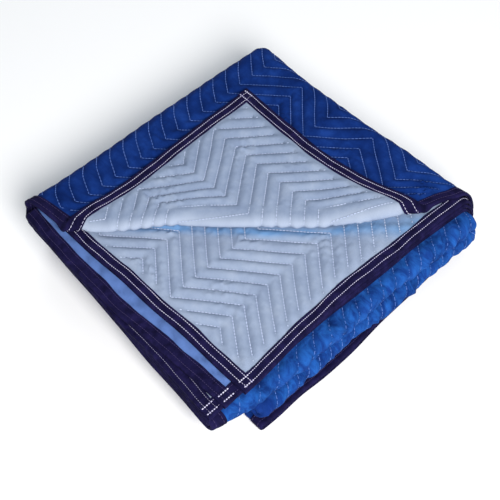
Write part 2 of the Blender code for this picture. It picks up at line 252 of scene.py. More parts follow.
def pull_top(x, y):
    """In-plane pulls of the top layer, fading out before the two back bends."""
    clear_x = smooth((x - FOLD_LEFT_X) / BEND_MARGIN)
    clear_y = smooth((FOLD_RIGHT_Y - y) / BEND_MARGIN)
    px, py, mx, my, reach = (v * MM for v in CREASE_END)
    end = np.exp(-((x - px) ** 2 + (y - py) ** 2) / (2 * reach ** 2))
    dx = MM * read_table(FLAP_LEFT, y / MM) * smooth((-20 * MM - x) / (100 * MM)) + mx * end
    far = sum(read_table(FLAP_FAR, x / MM + d) for d in (-16, -8, 0, 8, 16)) / 5
    dy = MM * far * smooth((y - 20 * MM) / (100 * MM)) + my * end
    return x + dx * clear_x, y + dy * clear_y


def place(a, b, n):
    """Where the points (a, b, n) of the flat blanket lie in the folded packet."""
    a, b, n = np.broadcast_arrays(np.asarray(a, float), np.asarray(b, float), np.asarray(n, float))
    s_end, h = FOLD_ENDS.carry(LENGTH - b, CLOTH / 2 + n)
    s_side, h = FOLD_SIDES.carry(a, h)
    s_side, h = FOLD_BACK_LEFT.carry(s_side, h)
    s_end, h = FOLD_BACK_RIGHT.carry(2 * QUARTER_B - s_end, h)
    qa = a / QUARTER_A
    qb = b / QUARTER_B
    x = SIDE_EDGE_X - s_side
    y = END_EDGE_Y + s_end
    upper = (qb < 1) | (qb > 3)
    x = x + (shift(SIDE_ROWS, qb, qa) + side_wobble(s_end, qa, upper)) * smooth(1 - s_side / SHIFT_REACH)
    y = y + (shift(END_ROWS, qa, qb) + end_wobble(a, qb)) * smooth(1 - s_end / SHIFT_REACH)
    top = (qa < 1) & (qb > 3)
    turned = turn_corner(x, y, h)
    x, y, h = (np.where(top, new, old) for new, old in zip(turned, (x, y, h)))
    pulled = pull_top(x, y)
    x, y = (np.where(top, new, old) for new, old in zip(pulled, (x, y)))
    low = (x - FOLD_LEFT_X) / (SIDE_EDGE_X - FOLD_LEFT_X)
    droop = DROOP_AT_LEFT + (DROOP_AT_FRONT - DROOP_AT_LEFT) * low
    h = h - np.where(upper, droop * smooth((DROOP_LINE - y) / DROOP_REACH), 0.0)
    for px, py, mx, my, reach in DRAWN_OUT:
        weight = MM * np.exp(-((x - px * MM) ** 2 + (y - py * MM) ** 2) / (2 * (reach * MM) ** 2))
        x, y = x + mx * weight, y + my * weight
    past_left = smooth((FOLD_LEFT_X + 10 * MM - x) / (25 * MM))
    x = x + LEFT_BULGE * np.cos(2 * pi * h / GROUP) * past_left
    up = np.clip(h / HEIGHT, 0, 1)
    h = np.maximum(h + up * 0.8 * MM * waves(x, y, 11, 0.16), 0.0)
    x = x + 0.5 * MM * waves(y, 2 * h, 12, 0.13)
    y = y + 0.5 * MM * waves(x, 2 * h, 13, 0.13)
    return np.stack([x - PACKET_CENTRE[0], y - PACKET_CENTRE[1], h], axis=-1)


def side_wobble(s_end, qa, upper):
    """Small waviness of the front-right edges; the layers of one roll share it."""
    free = waves(s_end, 3 * (qa > 2) + 1.5 * upper, 21, 0.10)
    rolled = waves(s_end, 5 + 2 * upper, 22, 0.12)
    return MM * np.where((qa < 1) | (qa > 3), 0.35 * free, 1.4 * rolled)


def end_wobble(a, qb):
    """Small waviness of the front-left edges."""
    edge = np.where(qb < 1, 0, np.where(qb <= 3, 1, 2))
    return 0.35 * MM * waves(a, edge * 1.0, 23, 0.11)


def zigzag(a):
    """How far a row of stitching has risen along b at this a."""
    return ZIGZAG_RISE * (1 - np.abs(((a - ZIGZAG_APEX) / ZIGZAG_HALF) % 2 - 1))


def exposed(a, b, side):
    """1 where nothing lies on the cloth, so that it can puff out, and 0 inside the packet."""
    top = on_top(a, b)
    s = across_crease(a, b)
    if side < 0:
        bare = smooth((CORNER_START - s) / (30 * MM)) * top
        return np.maximum(bare, (np.abs(a - 2 * QUARTER_A) < 40 * MM) & (b > 3 * QUARTER_B))
    flap = smooth((s - CORNER_START) / (20 * MM)) * top
    second = on_second(a, b)
    in_front = ((SIDE_EDGE_X - a) - (END_EDGE_Y + b)) / sqrt(2) - CORNER_START
    return np.maximum(flap, smooth((in_front - 25 * MM) / (25 * MM)) * second)


def to_stitch(a, b):
    """0 on a row of stitching and 1 midway between two."""
    row = (b - ROW_PHASE - zigzag(a)) / ROW_PITCH
    return 2 * np.abs(row - np.floor(row + 0.5))


def flattened(a, b):
    """1 where the cloth is stretched round a back bend or round the corner's crease, and 0 elsewhere."""
    over_left = smooth(1.6 - np.abs(np.abs(a - 2 * QUARTER_A) - QUARTER_A) / (27 * MM))
    over_back = smooth(1.6 - np.abs(np.abs(b - 2 * QUARTER_B) - QUARTER_B) / (42 * MM))
    past = across_crease(a, b) - CORNER_START - 12 * MM
    over_crease = smooth(1.7 - np.abs(past) / (20 * MM)) * on_top(a, b)
    return np.maximum(np.maximum(over_left, over_back), over_crease)


def half_thickness(a, b, side):
    """Half the cloth's thickness: thinned under the tape, drawn in by the stitching, puffed between."""
    across = to_stitch(a, b)
    high = PUFF_HIGH + (PUFF_BARE - PUFF_HIGH) * exposed(a, b, side)
    puff = PUFF_LOW + (high - PUFF_LOW) * (1 - (1 - across) ** PUFF_ROUND)
    taut = np.maximum(flattened(a, b), ROLL_TAUT * on_roll(a, b, side))
    puff = puff + (PUFF_FLAT + (puff - PUFF_FLAT) * PUFF_BENT - puff) * taut
    gathered = np.clip(waves(a, b, 36, 0.10), 0, 1.6)
    creased = PUCKER * waves(a, b, 31 + side, 0.011, 8) * (0.35 + 0.65 * across) * (0.5 + gathered)
    apex = np.abs(((a - ZIGZAG_APEX) / ZIGZAG_HALF + 0.5) % 1 - 0.5) * ZIGZAG_HALF
    ripples = np.sin(2 * pi * a / (9.0 * MM) + 2 * waves(a, b, 38, 0.09))
    drawn = PUCKER * 0.9 * ripples * np.exp(-(apex / (14 * MM)) ** 2) * across
    to_edge = np.minimum(np.minimum(a, b), np.minimum(WIDTH - a, LENGTH - b))
    bare = smooth((to_edge - TAPE_WIDTH - 0.5 * MM) / (9.0 * MM))
    crumple = waves(a * 1.2 - b * 0.8, b + a, 35, 0.05) * 0.55 + waves(a, b, 39, 0.02) * 0.4
    crumple = crumple * MM * on_roll(a, b, side)
    under_tape = -(TAPE_THICKNESS + TAPE_CLEARANCE)
    wrinkled = (creased + drawn) * (1 - 0.85 * flattened(a, b)) + crumple
    half = CLOTH / 2 + under_tape * (1 - bare) + (puff + wrinkled) * bare
    return np.maximum(half, THINNEST)


def on_roll(a, b, side):
    """1 on the front-right rolls, which show the face cloth."""
    return smooth(1 - np.abs(a - 2 * QUARTER_A) / (75.0 * MM)) * (b > 2 * QUARTER_B + 20 * MM) * (side < 0)


# Mesh of the two cloths

ROW_LEVELS = (0.0, 0.05, 0.12, 0.22, 0.35, 0.5, 0.65, 0.78, 0.88, 0.95)
EDGE_LINES = [RIM, 10.0 * MM, 19.5 * MM, 21.5 * MM, 24.0 * MM, 27.5 * MM]
EDGE_STEP = 6.0 * MM
COARSE_STEP = 20.0 * MM
TIGHT_STEP = 8.0 * MM
ROLL_STEP = 4.0 * MM
BEND_FLANK = (2 * MM, 5 * MM, 10 * MM)
ENDS_BAND = 18.0 * MM
SIDES_BAND = 24.0 * MM
CREASE_LINES = [CORNER_START + d * MM for d in (
    -14, -9, -6, -4, -2, 0, 1.5, 3, 4.5, 6, 7.5, 9, 10, 11, 12.5, 14, 15.5, 17, 18.5, 20, 22, 24, 26, 29, 34,
)]
CREASE_STEP = 4.0 * MM
CREASE_LOW = CREASE_LINES[0] - 2 * MM
CREASE_HIGH = CREASE_LINES[-1] + 2 * MM
OFFSET = LENGTH + END_EDGE_Y - SIDE_EDGE_X


def across_crease(a, b):
    """Distance s across the diagonal crease, before the corner is turned."""
    return ((SIDE_EDGE_X - a) - (END_EDGE_Y + LENGTH - b)) / sqrt(2)


def on_top(a, b):
    return (a < QUARTER_A) & (b > 3 * QUARTER_B)


def on_second(a, b):
    return (a < QUARTER_A) & (b < QUARTER_B)


def in_crease(a, b):
    s = across_crease(a, b)
    return on_top(a, b) & (s > CREASE_LOW) & (s < CREASE_HIGH)


def coarse_lines(size, bends, step):
    """Grid lines over the whole size: the given bend lines, and even steps in between."""
    stops = sorted([BAND] + bends + [size - BAND])
    lines = []
    for start, end in zip(stops, stops[1:]):
        count = max(1, ceil((end - start) / step - 0.2))
        lines += [start + (end - start) * k / count for k in range(count)]
    return lines + [stops[-1]]


WIDE_BENDS_A = FOLD_BACK_LEFT.lines(12)
WIDE_BENDS_B = FOLD_BACK_RIGHT.lines(14)
TIGHT_A = FOLD_SIDES.lines(16, BEND_FLANK)
TIGHT_B = FOLD_ENDS.lines(12, BEND_FLANK)


def mirrored(size, lines):
    return lines + [size - line for line in lines]


def edge_stations(length, bends, crease):
    """Places along an edge where its mesh is divided, as (place, slant)."""
    low, high = (min(crease) - BAND - 6 * MM, max(crease) + BAND + 6 * MM) if crease else (0, 0)
    return [(e, 0) for e in coarse_lines(length, bends, EDGE_STEP) if not low < e < high]


def side_crossings():
    """b of each crease line where it meets the edge a = 0."""
    return [OFFSET + sqrt(2) * s for s in CREASE_LINES]


BENDS_A = mirrored(WIDTH, WIDE_BENDS_A) + TIGHT_A
BENDS_B = mirrored(LENGTH, WIDE_BENDS_B) + TIGHT_B
ON_SIDE = side_crossings()
ON_END = [LENGTH - b for b in ON_SIDE]


def stations_of(edge):
    """Stations along one of the four edges, slanted where the corner's crease crosses."""
    length, bends = (LENGTH, BENDS_B) if edge.startswith("side") else (WIDTH, BENDS_A)
    crossing, slant = {"side_1": (ON_SIDE, 1), "end_2": (ON_END, -1)}.get(edge, ([], 0))
    stations = edge_stations(length, bends, crossing)
    if crossing:
        low, high = min(crossing), max(crossing)
        stations += [(e, slant) for e in crossing]
        inner = low - BAND - 6 * MM if slant > 0 else low - 6 * MM
        outer = high + 6 * MM if slant > 0 else high + BAND + 6 * MM
        wedge = [low - k * EDGE_STEP for k in range(1, 8)] + [high + k * EDGE_STEP for k in range(1, 8)]
        for e in wedge:
            gap = (low - e) if e < low else (e - high)
            eased = slant * max(0.0, 1 - gap / (BAND + 6 * MM))
            if inner - BAND < e < outer + BAND and not any(abs(e - f) < 3 * MM for f, _ in stations):
                stations.append((e, eased))
    return sorted(stations)


TO_CLOTH = {
    "side_1": lambda e, d: (d, e),
    "side_2": lambda e, d: (WIDTH - d, e),
    "end_1": lambda e, d: (e, d),
    "end_2": lambda e, d: (e, LENGTH - d),
}


def rim_places(edge):
    """Places of the rim's points along one edge, from corner to corner without the first."""
    size = LENGTH if edge.startswith("side") else WIDTH
    return EDGE_LINES[1:] + [e + s * RIM for e, s in stations_of(edge)] + [size - d for d in reversed(EDGE_LINES)]


def outline_points():
    """Points round the cloth's rim, in order."""
    points = [(a, RIM) for a in [RIM] + rim_places("end_1")]
    points += [(WIDTH - RIM, b) for b in rim_places("side_2")]
    points += [(a, LENGTH - RIM) for a in sorted(rim_places("end_2"), reverse=True)] + [(RIM, LENGTH - RIM)]
    points += [(RIM, b) for b in sorted(rim_places("side_1")[:-1], reverse=True)]
    return points


def band_points():
    """Points of the strip under and beside the tapes, without the rim."""
    points = []
    for edge, to_cloth in TO_CLOTH.items():
        for e, slant in stations_of(edge):
            points += [to_cloth(e + slant * d, d) for d in EDGE_LINES[1:]]
    corner = EDGE_LINES[1:]
    for a in mirrored(WIDTH, corner):
        for b in mirrored(LENGTH, corner):
            points.append((a, b))
    return points


def crease_points(step):
    points = []
    for s in CREASE_LINES:
        p_edge_low = 2 * END_EDGE_Y / sqrt(2) + s
        for k in range(int(0.75 / step)):
            p = p_edge_low + k * step
            x = (p + s) / sqrt(2)
            y = (p - s) / sqrt(2)
            a = SIDE_EDGE_X - x
            b = LENGTH + END_EDGE_Y - y
            if a > BAND - 1 * MM and b < LENGTH - BAND + 1 * MM and b > 3 * QUARTER_B and a < QUARTER_A:
                points.append((a, b))
    return points


def tight_points(step, roll_step):
    """Points of the two tight folds, closer together on the rolls that show."""
    points = []
    bends = mirrored(LENGTH, WIDE_BENDS_B) + TIGHT_B
    hidden = [b for b in coarse_lines(LENGTH, bends, step)[1:-1] if b < 2 * QUARTER_B]
    showing = [b for b in coarse_lines(LENGTH, bends, roll_step)[1:-1] if b >= 2 * QUARTER_B]
    for a in TIGHT_A:
        points += [(a, b) for b in hidden + showing]
    columns = coarse_lines(WIDTH, mirrored(WIDTH, WIDE_BENDS_A), step)[1:-1]
    for b in TIGHT_B:
        points += [(a, b) for a in columns if abs(a - 2 * QUARTER_A) > SIDES_BAND]
    return points


def in_band(a, b):
    return np.minimum(np.minimum(a, b), np.minimum(WIDTH - a, LENGTH - b)) < BAND - 0.1 * MM


def in_tight(a, b):
    return (np.abs(a - 2 * QUARTER_A) < SIDES_BAND) | (np.abs(b - 2 * QUARTER_B) < ENDS_BAND)


def zone_rows(zones):
    """Rows of points along the stitch lines and between them, inside the zones, and the stitch edges."""
    points = []
    edges = []
    for a0, a1, b0, b1, steps in zones:
        pitch = ZIGZAG_HALF / steps
        first = ceil((a0 - ZIGZAG_APEX) / pitch)
        columns = ZIGZAG_APEX + pitch * np.arange(first, int((a1 - ZIGZAG_APEX) / pitch) + 1)
        low = int((b0 - ROW_PHASE - ZIGZAG_RISE) / ROW_PITCH) - 1
        high = int((b1 - ROW_PHASE) / ROW_PITCH) + 1
        for row in range(low, high + 1):
            for level in ROW_LEVELS:
                b = ROW_PHASE + zigzag(columns) + (row + level) * ROW_PITCH
                keep = (b > b0) & (b < b1) & ~in_band(columns, b) & ~in_tight(columns, b) & ~in_crease(columns, b)
                for k in np.nonzero(keep)[0]:
                    if level == 0.0 and k and keep[k - 1]:
                        edges.append((len(points) - 1, len(points)))
                    points.append((columns[k], b[k]))
    return points, edges


def in_zones(zones, a, b):
    return any(a0 - 2 * MM < a < a1 + 2 * MM and b0 - 2 * MM < b < b1 + 2 * MM for a0, a1, b0, b1, _ in zones)


def coarse_points(zones, step):
    points = []
    for a in coarse_lines(WIDTH, mirrored(WIDTH, WIDE_BENDS_A), step):
        for b in coarse_lines(LENGTH, mirrored(LENGTH, WIDE_BENDS_B), step):
            if in_band(a, b) or in_tight(a, b) or in_crease(a, b) or in_zones(zones, a, b):
                continue
            points.append((a, b))
    return points


def triangulated(points, edges):
    """Points and triangles, and where each point that was given is among them."""
    verts, _, faces, origins, _, _ = delaunay_2d_cdt([Vector(p) for p in points], edges, [], 0, 1e-7)
    index = np.full(len(points), -1)
    for k, given in enumerate(origins):
        index[list(given)] = k
    return np.array([tuple(v) for v in verts]), np.array([tuple(f) for f in faces]), index


def new_piece(name, verts, faces, uvs=None, smooth_angle=None):
    mesh = bpy.data.meshes.new(name)
    mesh.from_pydata([tuple(v) for v in verts], [], [tuple(int(k) for k in f) for f in faces])
    if uvs is not None:
        layer = mesh.uv_layers.new(name="UVMap")
        index = np.empty(len(mesh.loops), np.int32)
        mesh.loops.foreach_get("vertex_index", index)
        layer.data.foreach_set("uv", np.asarray(uvs, np.float32)[index].ravel())
    mesh.shade_smooth()
    if smooth_angle:
        mesh.set_sharp_from_angle(angle=smooth_angle)
    obj = bpy.data.objects.new(name, mesh)
    bpy.context.scene.collection.objects.link(obj)
    return obj


def mark(obj, name, values):
    """Stores a number for each vertex, which the materials read."""
    attribute = obj.data.attributes.new(name, "FLOAT", "POINT")
    attribute.data.foreach_set("value", np.ascontiguousarray(values, np.float32))


def in_front_of_crease(a, b):
    """Distance of the second layer's points in front of the crease's shadow line, in m."""
    x, y = SIDE_EDGE_X - a, END_EDGE_Y + b
    crease = read_table(CREASE_WANDER, (x + y) / sqrt(2)) * MM
    return (x - y) / sqrt(2) - crease - CORNER_START - SHADOW_AHEAD


def painted_shade(a, b, side):
    """How much painted shade goes here: in the stitched grooves and, beyond 1, a painted shadow line close under the
    crease.
    """
    under = np.exp(-((in_front_of_crease(a, b) + 7 * MM) / (4.0 * MM)) ** 2) * on_second(a, b) * (side > 0)
    return np.maximum((1 - to_stitch(a, b)) ** 2.5, 3.2 * under)


def painted_light_and_shade(a, b, side):
    """How much the colour shifts here with painted light and shade: a painted lighter blue on the rolls and near one
    corner of the top layer, where light falls on them, and a painted blue shadow under the crease.
    """
    if side < 0:
        corner = 0.18 * on_top(a, b) * smooth(1 - np.hypot(a, b - 3 * QUARTER_B) / (150 * MM))
        return 0.75 * on_roll(a, b, side) ** 0.5 + corner
    second = on_second(a, b)
    uneven = 1.0 + 0.2 * waves(a, b, 61, 0.05)
    wider = smooth((SIDE_EDGE_X - a + END_EDGE_Y + b) / sqrt(2) / (60 * MM) - 2)
    return uneven * np.exp(-((in_front_of_crease(a, b) + 6 * MM * wider) / (9.0 * MM + 8 * MM * wider)) ** 2) * second


def painted_highlight(a, b, side):
    """How much paler the cloth is here, as a painted highlight where light falls: the strip at the front left, the rim
    of the crease and the front layer.
    """
    if side < 0:
        return smooth((b - 12 * MM) / (8 * MM)) * smooth((100 * MM - b) / (25 * MM)) * (a > 3 * QUARTER_A)
    rim = np.exp(-((across_crease(a, b) - CORNER_START - 14 * MM) / (4.5 * MM)) ** 2) * on_top(a, b)
    second = on_second(a, b)
    return 0.6 * rim + 0.12 * second


def panel(name, side, zones):
    """One cloth, closed: the outer surface with its quilting, the plain inner one, and the rim between."""
    outline = outline_points()
    loop = [(k, (k + 1) % len(outline)) for k in range(len(outline))]
    rows, row_edges = zone_rows(zones)
    roll_step = ROLL_STEP if side < 0 else TIGHT_STEP
    shared = outline + band_points() + crease_points(CREASE_STEP) + tight_points(TIGHT_STEP, roll_step)
    base = len(shared)
    outer_input = shared + rows + coarse_points(zones, COARSE_STEP)
    outer_edges = loop + [(i + base, j + base) for i, j in row_edges]
    outer_flat, outer_faces, outer_index = triangulated(outer_input, outer_edges)
    inner_input = outline + band_points() + crease_points(2 * CREASE_STEP) + tight_points(COARSE_STEP, COARSE_STEP)
    inner_input += coarse_points([], COARSE_STEP)
    inner_flat, inner_faces, inner_index = triangulated(inner_input, loop)
    a, b = outer_flat.T
    outer = place(a, b, side * half_thickness(a, b, side))
    inner = place(inner_flat[:, 0], inner_flat[:, 1], side * PLY_GAP / 2)
    outer_rim = outer_index[:len(outline)]
    inner_rim = inner_index[:len(outline)] + len(outer)
    following = np.roll(np.arange(len(outline)), -1)
    rim = np.stack([outer_rim, outer_rim[following], inner_rim[following], inner_rim], axis=1)
    if side < 0:
        outer_faces = outer_faces[:, ::-1]
    else:
        inner_faces = inner_faces[:, ::-1]
        rim = rim[:, ::-1]
    faces = list(outer_faces) + list(inner_faces + len(outer)) + list(rim)
    uvs = np.concatenate([outer_flat, inner_flat])
    obj = new_piece(name, np.concatenate([outer, inner]), faces, uvs, radians(60))
    flat_a, flat_b = uvs.T
    # Numbers for the materials: painted shade in the grooves and under the crease, painted light and shade, and
    # painted highlights.
    mark(obj, "painted_shade_amount", painted_shade(flat_a, flat_b, side))
    mark(obj, "painted_light_and_shade", painted_light_and_shade(flat_a, flat_b, side))
    mark(obj, "painted_highlight", painted_highlight(flat_a, flat_b, side))
    return obj


# Columns of points in each half zigzag, and the quilted zones as (a from, a to, b from, b to, columns)
FINEST = 20
FINE = 18
MEDIUM = 8
FACE_ZONES = [
    (BAND, 3 * QUARTER_A / 2 - 170 * MM, 1450 * MM, LENGTH - BAND, FINE),
    (2 * QUARTER_A - 75 * MM, 2 * QUARTER_A + 75 * MM, 1450 * MM, LENGTH - BAND, FINE),
    (2 * QUARTER_A - 60 * MM, 2 * QUARTER_A + 60 * MM, 2 * QUARTER_B + ENDS_BAND, 1448 * MM, MEDIUM),
    (BAND, 520 * MM, 2 * QUARTER_B + ENDS_BAND, 1448 * MM, MEDIUM),
]
REVERSE_ZONES = [
    (BAND, 440 * MM, 1640 * MM, LENGTH - BAND, FINEST),
    (BAND, 440 * MM, BAND, 440 * MM, FINEST),
]


# Tapes

def tape_profile():
    """The tape's section round the cloth's edge, as (distance from the edge, height), outside then inside."""
    outer = CLOTH / 2
    top = []
    for d in (20.5, 20.0, 18.6, 17.0, 15.4, 12.0, 8.2, 6.4, 4.8, 2.6):
        edge = 0.35 * MM if d > 20.4 else 0.0
        top.append((d * MM, tape_height(d * MM) - edge))
    nose = [(1.1 * MM, outer - 0.5 * MM), (0.25 * MM, outer - 1.5 * MM), (0.0, 0.0)]
    outside = top + nose
    outside = outside + [(d, -h) for d, h in reversed(outside[:-1])]
    inner = outer - TAPE_THICKNESS
    below = [(TAPE_WIDTH, -inner), (10.0 * MM, -inner), (TAPE_THICKNESS, -inner)]
    inside = below + [(d, -h) for d, h in reversed(below)]
    return outside, inside


def tape(name, edge):
    outside, inside = tape_profile()
    section = outside + inside
    to_cloth = TO_CLOTH[edge]
    stations = stations_of(edge)
    if edge.startswith("side"):
        ends = [(e, 0) for e in (0.0, 6 * MM, 12 * MM, 18 * MM, 24 * MM)]
        stations = ends + stations + [(LENGTH - e, 0) for e, _ in reversed(ends)]
    else:
        ends = [(TAPE_WIDTH + 0.1 * MM, 0), (25 * MM, 0)]
        stations = ends + stations + [(WIDTH - e, 0) for e, _ in reversed(ends)]
    stations = refined(sorted(stations))
    along_edge = np.array([e for e, _ in stations])
    slant = np.array([s for _, s in stations])
    d = np.array([p[0] for p in section])
    h = np.array([p[1] for p in section])
    skin = np.array([1.0] * len(outside) + [0.0] * len(inside))
    seed = {"side_1": 41, "side_2": 42, "end_1": 43, "end_2": 44}[edge]
    width_wobble = 1 + 0.02 * waves(along_edge, 0.0, seed, 0.05)
    e_grid = along_edge[:, None] + slant[:, None] * d[None, :]
    d_grid = d[None, :] * np.where(d[None, :] > 18 * MM, width_wobble[:, None], 1.0)
    ripple = 0.16 * MM * waves(e_grid, d_grid * 0.4, seed + 10, 0.010, 8) * smooth(d_grid / (3 * MM))
    h_grid = h[None, :] + skin[None, :] * np.sign(h)[None, :] * ripple
    a, b = to_cloth(e_grid, d_grid)
    verts = place(a, b, h_grid)
    rings, points = e_grid.shape
    verts = verts.reshape(-1, 3)
    faces = []
    for r in range(rings - 1):
        for k in range(points):
            j = (k + 1) % points
            faces.append((r * points + k, r * points + j, (r + 1) * points + j, (r + 1) * points + k))
    flip = edge in ("side_1", "end_2")
    if flip:
        faces = [f[::-1] for f in faces]
    low_cap = list(range(points))
    high_cap = [(rings - 1) * points + k for k in range(points)]
    faces.append(low_cap if flip else low_cap[::-1])
    faces.append(high_cap[::-1] if flip else high_cap)
    round_section = np.cumsum(np.hypot(np.diff(d, prepend=d[0]), np.diff(h, prepend=h[0])))
    uvs = np.stack([e_grid, np.broadcast_to(round_section[None, :], e_grid.shape)], axis=-1)
    return new_piece(name, verts, faces, uvs.reshape(-1, 2), radians(60))


def refined(stations):
    """Twice as many stations, where they are far apart."""
    found = []
    for (e0, s0), (e1, s1) in zip(stations, stations[1:]):
        found.append((e0, s0))
        if e1 - e0 > 4 * MM:
            found.append(((e0 + e1) / 2, (s0 + s1) / 2))
    return found + [stations[-1]]


# Thread

def stitches(starts, ends, width, height):
    """Small grains of thread between pairs of points, each (points, normals). The width is one for each."""
    (p0, n0), (p1, n1) = starts, ends
    width = np.broadcast_to(width, len(p0))[:, None]
    axis = p1 - p0
    axis_unit = axis / np.linalg.norm(axis, axis=1, keepdims=True)
    up = n0 + n1
    up -= (up * axis_unit).sum(1, keepdims=True) * axis_unit
    up /= np.linalg.norm(up, axis=1, keepdims=True)
    across = np.cross(axis_unit, up)
    rings = []
    for share, size, rise in ((0.0, 0.0, 0.0), (0.22, 1.0, 0.8), (0.78, 1.0, 0.8), (1.0, 0.0, 0.0)):
        centre = p0 + axis * share + up * height * rise * 0.5
        if size == 0.0:
            rings.append([centre])
            continue
        rings.append([
            centre + width / 2 * size * cos(t) * across + height / 2 * size * sin(t) * up
            for t in (0, pi / 2, pi, 3 * pi / 2)
        ])
    verts = np.stack([v for ring in rings for v in ring], axis=1)
    verts[..., 2] = np.maximum(verts[..., 2], 0.0)
    count, per = verts.shape[:2]
    local = [(0, 2, 1), (0, 3, 2), (0, 4, 3), (0, 1, 4)]
    for k in range(4):
        j = (k + 1) % 4
        local.append((1 + k, 1 + j, 5 + j, 5 + k))
    local += [(5, 6, 9), (6, 7, 9), (7, 8, 9), (8, 5, 9)]
    faces = [tuple(c * per + k for k in f) for c in range(count) for f in local]
    return verts.reshape(-1, 3), faces


def surface(a, b, side, proud):
    """Points just proud of a cloth's outer surface, and the normals there."""
    n = side * (half_thickness(a, b, side) + proud)
    points = place(a, b, n)
    return points, unit(place(a, b, n + side * 0.5 * MM) - points)


def unit(v):
    return v / np.linalg.norm(v, axis=-1, keepdims=True)


def quilting_stitches(side, zones, length, gap):
    """Start and end of each stitch along the zigzag rows inside the zones, in cloth coordinates."""
    slope = sqrt(ZIGZAG_HALF ** 2 + ZIGZAG_RISE ** 2)
    count = round(slope / (length + gap))
    found = []
    for a0, a1, b0, b1, keep in zones:
        for k in range(int((a0 - ZIGZAG_APEX) / ZIGZAG_HALF) - 1, int((a1 - ZIGZAG_APEX) / ZIGZAG_HALF) + 1):
            start = ZIGZAG_APEX + k * ZIGZAG_HALF
            for row in range(int((b0 - ZIGZAG_RISE) / ROW_PITCH) - 1, int(b1 / ROW_PITCH) + 1):
                for m in range(count):
                    s0 = start + ZIGZAG_HALF * (m + 0.5 * gap / (length + gap)) / count
                    s1 = start + ZIGZAG_HALF * (m + 1 - 0.5 * gap / (length + gap)) / count
                    mid = (s0 + s1) / 2
                    b = ROW_PHASE + zigzag(mid) + row * ROW_PITCH
                    if a0 < s0 and s1 < a1 and b0 < b < b1 and keep(mid, b):
                        found.append((s0, s1, row))
    s0, s1, row = np.array(found).T
    b_start = ROW_PHASE + zigzag(s0) + row * ROW_PITCH
    b_end = ROW_PHASE + zigzag(s1) + row * ROW_PITCH
    return (s0, b_start), (s1, b_end)


def quilting_thread(name, side, zones):
    start, end = quilting_stitches(side, zones, 4.9 * MM, 0.1 * MM)
    width = (1.9 if side > 0 else 1.35) * MM
    verts, faces = stitches(surface(*start, side, 0.25 * MM), surface(*end, side, 0.25 * MM), width, 0.7 * MM)
    return new_piece(name, verts, faces)


def tape_height(d):
    """Height of the tape's outside over the mid-plane, pressed in along the stitch rows."""
    press = sum(ROW_PRESS * np.exp(-((d - row) / (1.3 * MM)) ** 2) for row in STITCH_ROWS)
    return CLOTH / 2 - press


def thread_in_shade(edge, e, side):
    """1 where the tape's thread is darkened with painted shade on the lower layers, 0 on the two top edges that show
    and at the front corners.
    """
    a, b = TO_CLOTH[edge](e, 12 * MM)
    second = on_second(a, b) & (side > 0)
    flap = on_top(a, b) & (across_crease(a, b) > CORNER_START) & (side > 0)
    corner = (edge == "side_2") & (np.minimum(e, LENGTH - e) < TAPE_WIDTH)
    fourth = (b > 3 * QUARTER_B) & (a > 3.35 * QUARTER_A)
    return np.where(second | flap | corner, 0.0, np.where(fourth, 0.55, 1.0))


def binding_thread(name):
    """Two rows of stitches on both sides of every tape, thicker where a front corner is sewn down."""
    all_verts = []
    all_faces = []
    all_thread_shade = []
    base = 0
    for edge, to_cloth in TO_CLOTH.items():
        size = LENGTH if edge.startswith("side") else WIDTH
        for row_d in STITCH_ROWS:
            pitch = 3.6 * MM
            e = np.arange(4 * MM, size - 4 * MM, pitch)
            d = row_d + 0.4 * MM * waves(e, row_d, 51, 0.06)
            sewn = edge.startswith("side") & (np.minimum(e, size - e) < TAPE_WIDTH)
            for side in (-1, 1):
                # Painted shade: how much darker the thread of the lower layers is, as if in shadow.
                thread_shade = thread_in_shade(edge, e, side)
                ends = []
                for shift_e in (0.0, 3.2 * MM):
                    a, b = to_cloth(e + shift_e, d)
                    n = side * (tape_height(row_d) + 0.12 * MM)
                    p = place(a, b, n)
                    ends.append((p, unit(place(a, b, n + side * 0.5 * MM) - p)))
                width = np.where(sewn, 2.1, np.where(thread_shade > 0.5, 0.8, 1.05)) * MM
                verts, faces = stitches(*ends, width, 0.8 * MM)
                all_verts.append(verts)
                all_faces += [tuple(k + base for k in f) for f in faces]
                all_thread_shade.append(np.repeat(thread_shade, len(verts) // len(e)))
                base += len(verts)
    obj = new_piece(name, np.concatenate(all_verts), all_faces)
    mark(obj, "painted_light_and_shade", np.concatenate(all_thread_shade))
    return obj


# Materials

def shader_of(material):
    return material.node_tree.nodes["Principled BSDF"]


def attribute_value(nodes, name):
    node = nodes.new("ShaderNodeAttribute")
    node.attribute_name = name
    return node.outputs["Fac"]


def calculated(nodes, links, operation, first, second, clamp=False):
    """A Math node; each input is a socket or a number."""
    node = nodes.new("ShaderNodeMath")
    node.operation = operation
    node.use_clamp = clamp
    for socket, value in zip(node.inputs, (first, second)):
        if isinstance(value, (int, float)):
            socket.default_value = value
        else:
            links.new(value, socket)
    return node.outputs["Value"]


def mixed(nodes, links, factor, base, other):
    """A colour between two, each a socket or three numbers."""
    node = nodes.new("ShaderNodeMix")
    node.data_type = "RGBA"
    links.new(factor, node.inputs["Factor"])
    for socket, value in ((node.inputs[6], base), (node.inputs[7], other)):
        if isinstance(value, tuple):
            socket.default_value = (*value, 1.0)
        else:
            links.new(value, socket)
    return node.outputs[2]


def noise(nodes, links, where, scale, detail, roughness=0.6, distortion=0.0):
    node = nodes.new("ShaderNodeTexNoise")
    node.inputs["Scale"].default_value = scale
    node.inputs["Detail"].default_value = detail
    node.inputs["Roughness"].default_value = roughness
    node.inputs["Distortion"].default_value = distortion
    links.new(where, node.inputs["Vector"])
    return node.outputs["Fac"]


